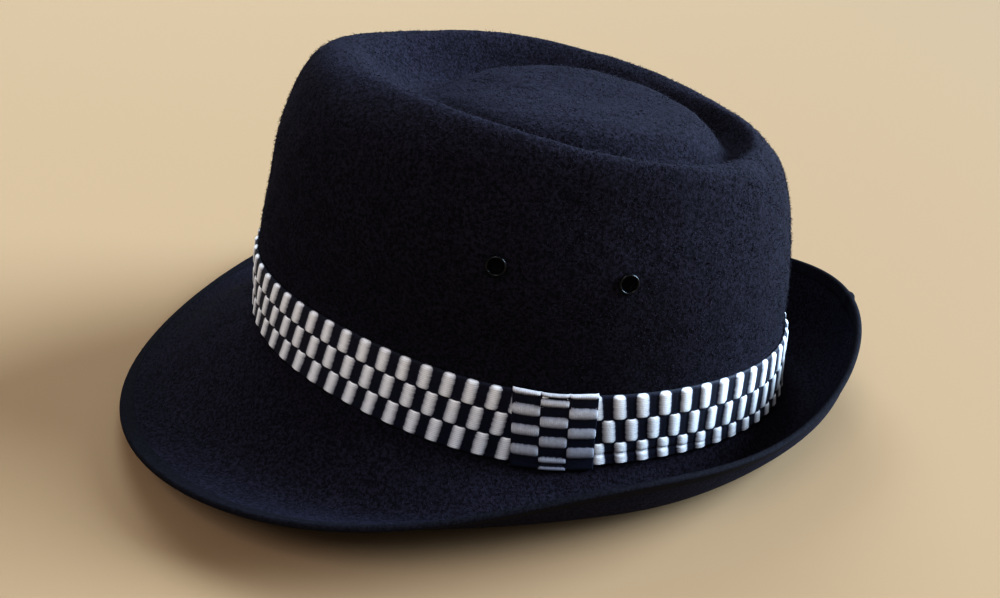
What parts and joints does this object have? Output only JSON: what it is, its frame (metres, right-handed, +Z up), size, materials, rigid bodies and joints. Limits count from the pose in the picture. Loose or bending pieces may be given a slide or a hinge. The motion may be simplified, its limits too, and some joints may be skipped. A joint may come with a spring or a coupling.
{
  "type": "felt trilby hat",
  "caption": "Dark navy wool-felt hat with a dented teardrop crown, snap brim, bound edge, black and white chequered ribbon band with a wrapped tab, and small black vents",
  "frame": {"origin": "on the floor under the middle of the hat's outline, as it lies on its brim", "axes": "+Z up, -Y to the hat's front, +X to the wearer's left, the side with the tab"},
  "size_m": [0.2414, 0.2848, 0.1272],
  "materials": {
    "navy_felt": "matte, short fuzzy nap",
    "binding_ribbon": "matte fine ribbed weave",
    "chequered_ribbon": "woven black and white checks, slight sheen on the white threads",
    "black_enamel": "semi-gloss black"
  },
  "bodies": {
    "root": {"felt_body": "navy_felt", "brim_binding": "binding_ribbon", "hat_band": "chequered_ribbon", "band_tab": "chequered_ribbon", "vent_left_front": "black_enamel", "vent_left_back": "black_enamel", "vent_right_front": "black_enamel", "vent_right_back": "black_enamel"}
  },
  "joints": []
}
